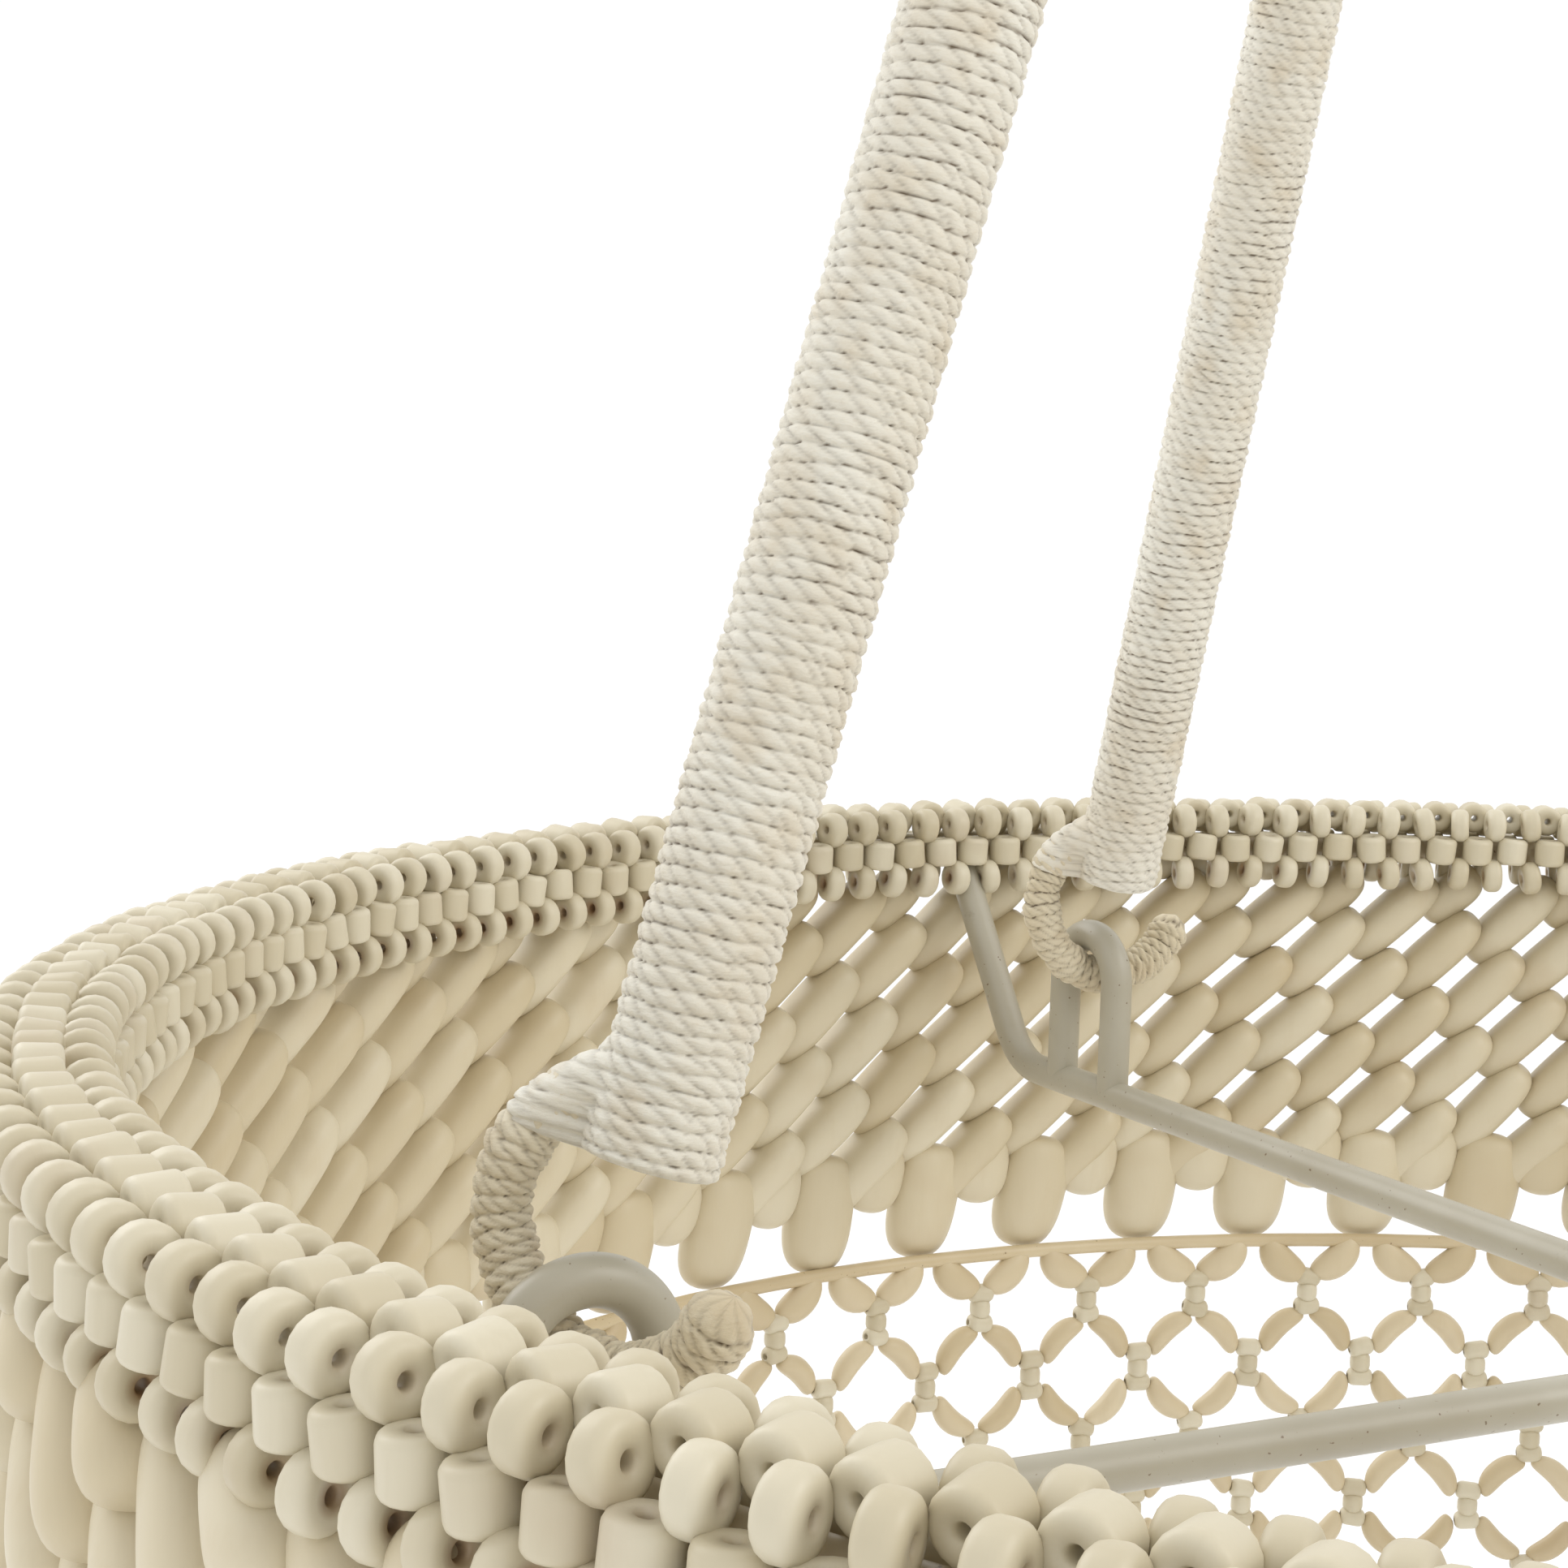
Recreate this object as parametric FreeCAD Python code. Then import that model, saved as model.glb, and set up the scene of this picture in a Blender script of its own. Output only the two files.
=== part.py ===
import FreeCAD, Part
import math
import os

# Hanging beaded basket on four twine-wrapped rods.
# Millimetres, +Z up. The origin is the bearing point inside the top of the hanging ring.
# Heights named *_z are measured from the rim plane of the basket; level() moves them to the
# part's own frame.

V = FreeCAD.Vector
UP = V(0, 0, 1)
ORIGIN = V(0, 0, 0)

# ---- driving dimensions: basket ----
RIM_R = 248.0            # centre line of the steel rim ring
ROD_AZIMUTHS = (0.0, 90.0, 180.0, 270.0)
WIRE_R = 3.1             # frame wire, 6.2 mm round
RIM_RING_Z = -7.0
RIM_RING_WIRE_R = 3.1
DISC_R = 3.1             # disc beads strung round the rim
BARREL_R = 2.2           # short cylinder beads set across the rows
TOP_OUTER_R = 253.6
TOP_INNER_R = 242.4
TOP_DISC_Z = -0.6
TOP_BARREL_Z = 0.6
TOP_BARREL_HALF = 2.3
COLLAR_OUTER_R = 254.5
COLLAR_INNER_R = 241.5
COLLAR_BARREL_TOP_Z = -3.9
COLLAR_BARREL_BOTTOM_Z = -8.7
COLLAR_DISC_Z = -11.9
BEAD_GAP = 0.1

PETAL_IN_R = 243.2
PETAL_OUT_R = 259.4
PETAL_TOP_Z = -15.2
PETAL_BOTTOM_Z = -96.4
BAND_RING_Z = -98.1
NET_R = 247.0
NET_HALF = 2.4
BAND_WIRE_R = 1.5
NET_ROWS = 9
NET_FIRST_TOP_Z = -99.8
NET_FIRST_BOTTOM_Z = -108.8
NET_PITCH = 16.8
BASE_BEAD_R = 3.1
BASE_WIRE_R = 1.5

SPOKE_Z = -48.5
BEND_R = 218.8
BEND_FILLET = 14.0
HUB_R = 24.0
HUB_T = 5.0
HUB_BORE_R = 5.2
HUB_EDGE = 0.6

# ---- driving dimensions: arches that take the hooks ----
ARCH_R = 193.5
ARCH_HALF = 9.2
ARCH_TOP_Z = -17.4       # centre line of the crown of the arch
ARCH_WIRE_R = 3.1

# ---- driving dimensions: hanger ----
ROD_FOOT_R = 186.5
ROD_FOOT_Z = -5.2
ROD_MEET_Z = 661.2       # where the four rod axes would meet
TUBE_R = 6.35
TUBE_WALL = 1.6
WRAP_R = 8.15
HOOK_WIRE_R = 2.6
HOOK_WRAP_R = 3.8
HOOK_BEND_R = 16.5
HOOK_SHIFT = 4.0
HOOK_TIP_DEG = -25.0
HOOK_NECK_Z = 5.5
# per rod: turn of the hook about the rod, height of the centre of its bend
HOOKS = {0.0: (90.0, -9.2), 90.0: (-90.0, -9.2), 180.0: (118.0, -10.6), 270.0: (90.0, -9.2)}

PLATE_R = 36.0
PLATE_BOTTOM_Z = 585.0
PLATE_T = 6.0
PLATE_EDGE = 1.0
WRAP_STOP = 3.0
SHANK_R = 4.0
SHANK_FIT = 0.05
AXIAL_GAP = 0.3
COLLAR_R = 9.0
COLLAR_T = 3.5
EYE_R = 12.0
EYE_WIRE_R = 3.5
EYE_SINK = 1.0
NUT_AF = 13.0
NUT_T = 6.5
SHANK_TAIL = 2.0
RING_R = 18.0
RING_WIRE_R = 4.0

PLATE_TOP_Z = PLATE_BOTTOM_Z + PLATE_T
EYE_Z = PLATE_TOP_Z + AXIAL_GAP + COLLAR_T + EYE_R + EYE_WIRE_R - EYE_SINK
RING_LOW_Z = EYE_Z + EYE_R - EYE_WIRE_R - RING_WIRE_R - AXIAL_GAP
RING_Z = RING_LOW_Z + RING_R
BEARING_Z = RING_Z + RING_R - RING_WIRE_R


def level(z):
    return z - BEARING_Z


def radial(azimuth, r, z):
    a = math.radians(azimuth)
    return V(r * math.cos(a), r * math.sin(a), level(z))


def save(shape, node):
    shape.exportStep(os.path.join("parts", node + ".step"))


def torus(r, wire_r, z):
    return Part.makeTorus(r, wire_r, V(0, 0, level(z)), UP)


def band(r_in, r_out, z_low, z_high, edge=0.0):
    outer = Part.makeCylinder(r_out, z_high - z_low, V(0, 0, level(z_low)))
    inner = Part.makeCylinder(r_in, z_high - z_low, V(0, 0, level(z_low)))
    ring = outer.cut(inner)
    if edge:
        ring = ring.makeChamfer(edge, ring.Edges)
    return ring


def rod_along(path, radius):
    start = path.Edges[0].valueAt(path.Edges[0].FirstParameter)
    heading = path.Edges[0].tangentAt(path.Edges[0].FirstParameter)
    circle = Part.Wire(Part.makeCircle(radius, start, heading))
    return path.makePipeShell([circle], True, True)


# ---- hanging ring and swivel ----
def hanging_ring():
    return Part.makeTorus(RING_R, RING_WIRE_R, V(0, 0, level(RING_Z)), V(1, 0, 0))


def swivel_eye():
    eye = Part.makeTorus(EYE_R, EYE_WIRE_R, V(0, 0, level(EYE_Z)), V(0, 1, 0))
    flange_z = PLATE_TOP_Z + AXIAL_GAP
    flange = Part.makeCylinder(COLLAR_R, COLLAR_T, V(0, 0, level(flange_z)))
    tail_z = PLATE_BOTTOM_Z - AXIAL_GAP - NUT_T - SHANK_TAIL
    shank = Part.makeCylinder(SHANK_R, flange_z + COLLAR_T - tail_z, V(0, 0, level(tail_z)))
    return eye.fuse(flange).fuse(shank).removeSplitter()


def swivel_nut():
    corner = NUT_AF / math.sqrt(3.0)
    low = level(PLATE_BOTTOM_Z - AXIAL_GAP - NUT_T)
    points = []
    for k in range(7):
        a = math.radians(60.0 * k)
        points.append(V(corner * math.cos(a), corner * math.sin(a), low))
    hexagon = Part.Face(Part.makePolygon(points)).extrude(V(0, 0, NUT_T))
    round_off = Part.makeCone(corner + NUT_T - 0.8, corner - 0.8, NUT_T, V(0, 0, low))
    lower = Part.makeCone(corner - 0.8, corner + NUT_T - 0.8, NUT_T, V(0, 0, low))
    hole = Part.makeCylinder(SHANK_R, NUT_T, V(0, 0, low))
    return hexagon.common(round_off).common(lower).cut(hole)


def crown_plate():
    plate = Part.makeCylinder(PLATE_R, PLATE_T, V(0, 0, level(PLATE_BOTTOM_Z)))
    plate = plate.makeChamfer(PLATE_EDGE, plate.Edges)
    bore = Part.makeCylinder(SHANK_R + SHANK_FIT, PLATE_T, V(0, 0, level(PLATE_BOTTOM_Z)))
    return plate.cut(bore)


# ---- rods ----
def rod_foot(azimuth):
    return radial(azimuth, ROD_FOOT_R, ROD_FOOT_Z)


def rod_cylinder(azimuth, radius, stop_z, extra=0.0):
    foot = rod_foot(azimuth)
    axis = V(0, 0, level(ROD_MEET_Z)) - foot
    axis.normalize()
    length = (ROD_MEET_Z - ROD_FOOT_Z) / axis.z
    solid = Part.makeCylinder(radius, length + extra, foot - axis * extra, axis)
    lid_size = 4.0 * PLATE_R
    lid = Part.makeBox(lid_size, lid_size, ROD_MEET_Z, V(-lid_size / 2, -lid_size / 2, level(stop_z)))
    return solid.cut(lid)


def rod_tube(azimuth):
    outer = rod_cylinder(azimuth, TUBE_R, PLATE_BOTTOM_Z)
    inner = rod_cylinder(azimuth, TUBE_R - TUBE_WALL, PLATE_BOTTOM_Z, 1.0)
    return outer.cut(inner)


def rod_wrap(azimuth, hook_outer):
    outer = rod_cylinder(azimuth, WRAP_R, PLATE_BOTTOM_Z - WRAP_STOP)
    inner = rod_cylinder(azimuth, TUBE_R, PLATE_BOTTOM_Z, 1.0)
    return outer.cut(inner).cut(hook_outer)


# ---- hooks ----
def hook_path(azimuth):
    hook_turn, centre_z = HOOKS[azimuth]
    turn = math.radians(azimuth + hook_turn)
    along = V(math.cos(turn), math.sin(turn), 0)
    centre = radial(azimuth, ARCH_R, centre_z) + along * HOOK_SHIFT
    points = []
    steps = 8
    sweep = 180.0 + HOOK_TIP_DEG
    for k in range(steps + 1):
        a = math.radians(HOOK_TIP_DEG - sweep * k / steps)
        points.append(centre + along * (HOOK_BEND_R * math.cos(a)) + UP * (HOOK_BEND_R * math.sin(a)))
    leg = points[-1]
    reach = (HOOK_NECK_Z - ROD_FOOT_Z) / (ROD_MEET_Z - ROD_FOOT_Z)
    neck = radial(azimuth, ROD_FOOT_R * (1.0 - reach), HOOK_NECK_Z)
    across = V(neck.x - leg.x, neck.y - leg.y, 0)
    rise = neck.z - leg.z
    points.append(leg + across * 0.07 + UP * (rise * 0.36))
    points.append(leg + across * 0.38 + UP * (rise * 0.76))
    points.append(neck)
    curve = Part.BSplineCurve()
    curve.interpolate(points)
    return Part.Wire(curve.toShape())


def hook_wire(path, tube_core):
    return rod_along(path, HOOK_WIRE_R).cut(tube_core)


def hook_wrap(hook_outer, path, tube_core):
    return hook_outer.cut(rod_along(path, HOOK_WIRE_R)).cut(tube_core)


# ---- basket frame ----
def spoke_path(azimuth):
    rise = V(RIM_R - BEND_R, 0, RIM_RING_Z - SPOKE_Z)
    rise.normalize()
    half = math.atan2(rise.z, rise.x) / 2.0
    setback = BEND_FILLET * math.tan(half)
    corner = V(BEND_R, 0, level(SPOKE_Z))
    start = V(0, 0, level(SPOKE_Z))
    first = corner - V(setback, 0, 0)
    last = corner + rise * setback
    middle = corner + (V(-1, 0, 0) + rise).normalize() * (BEND_FILLET / math.cos(half) - BEND_FILLET)
    end = V(RIM_R, 0, level(RIM_RING_Z))
    edges = [Part.makeLine(start, first)]
    edges.append(Part.Arc(first, middle, last).toShape())
    edges.append(Part.makeLine(last, end))
    path = Part.Wire(edges)
    path.rotate(ORIGIN, UP, azimuth)
    return path


def arch(azimuth, spoke):
    side = ARCH_HALF
    crown = level(ARCH_TOP_Z)
    shoulder = crown - side
    foot = level(SPOKE_Z)
    near = ARCH_R - side
    far = ARCH_R + side
    edges = [Part.makeLine(V(near, 0, foot), V(near, 0, shoulder))]
    edges.append(Part.Arc(V(near, 0, shoulder), V(ARCH_R, 0, crown), V(far, 0, shoulder)).toShape())
    edges.append(Part.makeLine(V(far, 0, shoulder), V(far, 0, foot)))
    path = Part.Wire(edges)
    path.rotate(ORIGIN, UP, azimuth)
    return rod_along(path, ARCH_WIRE_R).cut(spoke)


def centre_hub():
    low = level(SPOKE_Z - HUB_T / 2)
    disc = Part.makeCylinder(HUB_R, HUB_T, V(0, 0, low))
    disc = disc.makeChamfer(HUB_EDGE, disc.Edges)
    return disc.cut(Part.makeCylinder(HUB_BORE_R, HUB_T, V(0, 0, low)))


def clear_of(shape, tools):
    for tool in tools:
        shape = shape.cut(tool)
    return shape


def net_row(k):
    if k == 0:
        top = NET_FIRST_TOP_Z
        bottom = NET_FIRST_BOTTOM_Z
    else:
        top = NET_FIRST_BOTTOM_Z - BEAD_GAP - NET_PITCH * (k - 1)
        bottom = top - NET_PITCH + BEAD_GAP
    return band(NET_R - NET_HALF, NET_R + NET_HALF, bottom, top)


def base_z():
    lowest = NET_FIRST_BOTTOM_Z - NET_PITCH * (NET_ROWS - 1)
    return lowest - BEAD_GAP - BASE_BEAD_R


os.makedirs("parts", exist_ok=True)

# hanger
save(hanging_ring(), "hanging_ring")
save(swivel_eye(), "swivel_eye")
save(swivel_nut(), "swivel_nut")
save(crown_plate(), "crown_plate")

for number, azimuth in enumerate(ROD_AZIMUTHS, 1):
    core = rod_cylinder(azimuth, TUBE_R, PLATE_BOTTOM_Z)
    path = hook_path(azimuth)
    hook_outer = rod_along(path, HOOK_WRAP_R)
    save(rod_tube(azimuth), "rod_tube_%d" % number)
    save(rod_wrap(azimuth, hook_outer), "rod_wrap_%d" % number)
    save(hook_wire(path, core), "hook_wire_%d" % number)
    save(hook_wrap(hook_outer, path, core), "hook_wrap_%d" % number)

# basket frame
rim_ring = torus(RIM_R, RIM_RING_WIRE_R, RIM_RING_Z)
hub = centre_hub()
hub_core = Part.makeCylinder(HUB_R, 4 * HUB_T, V(0, 0, level(SPOKE_Z) - 2 * HUB_T))
save(rim_ring, "rim_ring")
save(hub, "centre_hub")
risers = []
for number, azimuth in enumerate(ROD_AZIMUTHS, 1):
    spoke = rod_along(spoke_path(azimuth), WIRE_R)
    risers.append(rod_along(spoke_path(azimuth), WIRE_R + BEAD_GAP))
    save(arch(azimuth, spoke), "arch_%d" % number)
    save(spoke.cut(rim_ring).cut(hub_core), "spoke_%d" % number)

# bead rows round the rim
half = TOP_BARREL_HALF
save(torus(TOP_OUTER_R, DISC_R, TOP_DISC_Z), "rim_discs_outer")
save(torus(TOP_INNER_R, DISC_R, TOP_DISC_Z), "rim_discs_inner")
save(band(RIM_R - half, RIM_R + half, TOP_BARREL_Z - BARREL_R, TOP_BARREL_Z + BARREL_R, 0.5), "rim_barrels_top")
for side, r, tools in (("outer", COLLAR_OUTER_R, ()), ("inner", COLLAR_INNER_R, risers)):
    barrels = band(r - BARREL_R, r + BARREL_R, COLLAR_BARREL_BOTTOM_Z, COLLAR_BARREL_TOP_Z, 0.5)
    discs = torus(r, DISC_R, COLLAR_DISC_Z)
    save(clear_of(barrels, tools), "collar_barrels_" + side)
    save(clear_of(discs, tools), "collar_discs_" + side)

# petal band, net and base
petals = band(PETAL_IN_R, PETAL_OUT_R, PETAL_BOTTOM_Z, PETAL_TOP_Z, 1.5)
save(clear_of(petals, risers), "petal_band")
save(torus(NET_R, BAND_WIRE_R, BAND_RING_Z), "band_ring")
for k in range(NET_ROWS):
    save(net_row(k), "net_row_%d" % k)
base_wire = torus(NET_R, BASE_WIRE_R, base_z())
save(base_wire, "base_ring")
save(torus(NET_R, BASE_BEAD_R, base_z()).cut(base_wire), "base_discs")
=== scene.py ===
import math

import bpy
import numpy as np
from mathutils import Matrix, Vector


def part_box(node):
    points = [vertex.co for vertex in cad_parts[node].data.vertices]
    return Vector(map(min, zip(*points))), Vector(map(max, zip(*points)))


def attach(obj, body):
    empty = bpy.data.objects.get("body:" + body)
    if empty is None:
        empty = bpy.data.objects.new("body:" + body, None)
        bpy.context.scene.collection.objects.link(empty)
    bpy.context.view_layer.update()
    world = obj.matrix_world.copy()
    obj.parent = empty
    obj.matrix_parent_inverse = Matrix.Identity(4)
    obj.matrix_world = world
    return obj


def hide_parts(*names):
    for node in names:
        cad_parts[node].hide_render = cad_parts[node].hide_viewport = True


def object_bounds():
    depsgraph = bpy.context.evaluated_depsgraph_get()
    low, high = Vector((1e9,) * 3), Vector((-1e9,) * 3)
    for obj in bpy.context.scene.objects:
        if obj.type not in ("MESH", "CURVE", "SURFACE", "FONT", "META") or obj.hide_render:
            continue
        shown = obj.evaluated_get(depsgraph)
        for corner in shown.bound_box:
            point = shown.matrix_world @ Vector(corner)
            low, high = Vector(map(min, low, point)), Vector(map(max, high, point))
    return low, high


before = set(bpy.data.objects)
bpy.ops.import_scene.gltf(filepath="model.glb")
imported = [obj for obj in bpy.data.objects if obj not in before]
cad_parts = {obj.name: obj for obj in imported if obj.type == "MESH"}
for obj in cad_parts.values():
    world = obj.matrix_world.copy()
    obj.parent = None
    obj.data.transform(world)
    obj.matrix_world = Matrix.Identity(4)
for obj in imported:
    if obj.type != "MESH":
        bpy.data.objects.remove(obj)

cad_lo, cad_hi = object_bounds()

MM = 0.001
TAU = 2.0 * math.pi

# Lengths are in mm and heights are from the rim plane, except where a comment says metres.
HUB_TOP = -46.0
RIM_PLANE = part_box("centre_hub")[1].z - HUB_TOP * MM      # metres, in the part's frame
RIM_R = 248.0
CELLS = 58               # petals and net cells round the basket
CELL = 360.0 / CELLS
ROUND = 190              # small beads in each row round the rim
ROD_AZIMUTHS = (0.0, 90.0, 180.0, 270.0)


# ---------------------------------------------------------------- camera
LENS = 65.37             # on a 36 mm sensor
CAMERA_RIGHT = Vector((0.8900, -0.4550, 0.0295))
CAMERA_AHEAD = Vector((0.4554, 0.8842, -0.1033))
CAMERA_SPOT = Vector((-0.3166, -0.2831, RIM_PLANE + 0.0705))      # metres


def make_camera():
    data = bpy.data.cameras.new("camera")
    data.sensor_width = 36.0
    data.lens = LENS
    data.clip_start = 0.01
    data.clip_end = 100.0
    cam = bpy.data.objects.new("camera", data)
    bpy.context.scene.collection.objects.link(cam)
    right = CAMERA_RIGHT.normalized()
    back = -CAMERA_AHEAD.normalized()
    up = back.cross(right).normalized()
    right = up.cross(back)
    turn = Matrix((right, up, back)).transposed().to_4x4()
    cam.matrix_world = Matrix.Translation(CAMERA_SPOT) @ turn
    bpy.context.scene.camera = cam


make_camera()


# ---------------------------------------------------------------- smooth seeded noise
class Waves:
    """A sum of sines in up to three coordinates, smooth and repeatable."""

    def __init__(self, seed, scale, terms=7):
        rng = np.random.default_rng(seed)
        self.k = rng.normal(0.0, 1.0, (terms, 3)) * TAU / scale
        self.phase = rng.uniform(0.0, TAU, terms)
        self.gain = 1.0 / math.sqrt(terms / 2.0)

    def __call__(self, a, b=0.0, c=0.0):
        total = 0.0
        for k, p in zip(self.k, self.phase):
            total = total + np.sin(k[0] * a + k[1] * b + k[2] * c + p)
        return total * self.gain


# ---------------------------------------------------------------- meshes
def new_mesh(name, verts, quads, attributes=None, smooth=True):
    mesh = bpy.data.meshes.new(name)
    verts = np.asarray(verts, np.float32)
    quads = np.asarray(quads, np.int32)
    mesh.vertices.add(len(verts))
    mesh.vertices.foreach_set("co", verts.ravel())
    mesh.loops.add(quads.size)
    mesh.loops.foreach_set("vertex_index", quads.ravel())
    mesh.polygons.add(len(quads))
    mesh.polygons.foreach_set("loop_start", np.arange(0, quads.size, 4, dtype=np.int32))
    mesh.update(calc_edges=True)
    mesh.validate()
    mesh.polygons.foreach_set("use_smooth", np.full(len(mesh.polygons), smooth))
    for key, values in (attributes or {}).items():
        layer = mesh.attributes.new(key, "FLOAT", "POINT")
        layer.data.foreach_set("value", np.asarray(values, np.float32))
    mesh.update()
    obj = bpy.data.objects.new(name, mesh)
    bpy.context.scene.collection.objects.link(obj)
    return obj


def grid_quads(rows, around, close_rows=False):
    """Quads of a grid that closes on itself round each row, and from last row to first if asked."""
    i = np.arange(rows if close_rows else rows - 1)[:, None]
    j = np.arange(around)[None, :]
    nxt = (i + 1) % rows
    a = i * around + j
    b = i * around + (j + 1) % around
    c = nxt * around + (j + 1) % around
    d = nxt * around + j
    return np.stack([a, b, c, d], -1).reshape(-1, 4)


def lid_quads(around):
    """Quads that close one end ring."""
    return np.array([(j, j + 1, around - 2 - j, around - 1 - j) for j in range(around // 2 - 1)])


def ring_bead(outer, half, hole, segments=18, round_off=1.0, steps=5):
    """A bead with a hole along its local Z: a closed lathe section turned round. round_off 1 is a
    full rounded edge, small values give a short cylinder."""
    edge = min(half, (outer - hole) * 0.9) * round_off
    section = []
    for k in range(steps + 1):
        a = 0.5 * math.pi * k / steps
        section.append((outer - edge + edge * math.cos(a), half - edge + edge * math.sin(a)))
    lip = 0.3
    section.append((hole + lip, half * 0.985 if round_off < 0.9 else half * 0.93))
    section.append((hole, half - 2.0 * lip))
    lower = [(r, -z) for r, z in reversed(section)]
    section = np.array(section + lower)
    turn = np.linspace(0.0, TAU, segments, endpoint=False)
    r = section[:, 0][:, None]
    z = section[:, 1][:, None] + 0.0 * turn[None, :]
    verts = np.stack([r * np.cos(turn), r * np.sin(turn), z], -1).reshape(-1, 3)
    # Painted shade in and just round the hole, standing partly for the string's brown.
    brown_and_hole_shade = np.repeat(np.clip((hole + 1.25 - section[:, 0]) / 1.1, 0.0, 1.0), segments)
    return verts, grid_quads(len(section), segments, True)[:, ::-1], brown_and_hole_shade


def pod(length, width, thick, along=18, around=14, blunt=2.0, bend=0.0, square=2.0):
    """A closed oval: long axis local X, width local Y, thickness local Z. blunt 2 is an ellipse and
    larger values square its ends off, as square does its section. bend lifts the two ends along Y."""
    u = np.linspace(0.05, math.pi - 0.05, along)
    v = np.linspace(0.0, TAU, around, endpoint=False)
    x = -np.cos(u)[:, None] * length / 2.0 + 0.0 * v[None, :]
    swell = ((1.0 - np.abs(np.cos(u)) ** blunt) ** (1.0 / blunt))[:, None]
    wide = np.sign(np.cos(v)) * np.abs(np.cos(v)) ** (2.0 / square)
    deep = np.sign(np.sin(v)) * np.abs(np.sin(v)) ** (2.0 / square)
    y = swell * wide * width / 2.0 + bend * (2.0 * x / length) ** 2
    z = swell * deep * thick / 2.0
    verts = np.stack([x, y, z], -1).reshape(-1, 3)
    first = lid_quads(around)
    last = first[:, ::-1] + (along - 1) * around
    quads = np.concatenate([grid_quads(along, around)[:, ::-1], first, last])
    return verts, quads, np.zeros(len(verts))


def scatter(name, template, places, axes, tone_seed, replaces, material, hole_shade_strength=1.0):
    """One mesh holding a copy of template at each place. axes are 3x3 arrays whose columns are the
    bead's local X, Y and Z. The last argument scales the brown round each hole, partly the string's colour
    and partly painted shade in the hole."""
    verts, quads, brown_and_hole_shade = template
    places = np.asarray(places, float)
    axes = np.asarray(axes, float)
    count = len(places)
    out = np.einsum("nij,vj->nvi", axes, verts) + places[:, None, :]
    faces = (quads[None] + (np.arange(count) * len(verts))[:, None, None]).reshape(-1, 4)
    rng = np.random.default_rng(tone_seed)
    tone = np.repeat(rng.uniform(0.0, 1.0, count), len(verts))
    # Brown round each hole, partly the string's colour and partly painted shade, random in depth per bead.
    hole_shades = np.repeat(rng.uniform(0.55, 1.0, count), len(verts)) * np.tile(brown_and_hole_shade, count) * hole_shade_strength
    obj = new_mesh(name, out.reshape(-1, 3) * MM, faces, {"tone": tone, "brown_and_hole_shade": hole_shades})
    obj.data.materials.append(material)
    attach(obj, "basket")
    if replaces:
        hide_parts(*replaces)


def wheel(azimuth_deg):
    """Outward, along and up directions at an azimuth, each as an array."""
    a = np.radians(azimuth_deg)
    out = np.stack([np.cos(a), np.sin(a), 0.0 * a], -1)
    along = np.stack([-np.sin(a), np.cos(a), 0.0 * a], -1)
    up = np.stack([0.0 * a, 0.0 * a, 1.0 + 0.0 * a], -1)
    return out, along, up


def tilt(axes, rng, degrees):
    """Small random rotations, so that strung beads don't look stamped."""
    count = len(axes)
    v = np.radians(rng.normal(0.0, degrees, (count, 3)))
    turned = np.empty_like(axes)
    for n in range(count):
        turn = Matrix.Rotation(v[n, 0], 3, "X") @ Matrix.Rotation(v[n, 1], 3, "Y")
        turn = turn @ Matrix.Rotation(v[n, 2], 3, "Z")
        turned[n] = np.array(turn) @ axes[n]
    return turned


def to_frame(z_from_rim):
    """Millimetres above the rim plane to millimetres in the part's frame."""
    return z_from_rim + RIM_PLANE / MM


# ---------------------------------------------------------------- materials
def colour(r, g, b):
    """sRGB 0-255 to linear."""
    out = []
    for c in (r, g, b):
        c = c / 255.0
        out.append(c / 12.92 if c <= 0.04045 else ((c + 0.055) / 1.055) ** 2.4)
    return (*out, 1.0)


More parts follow.
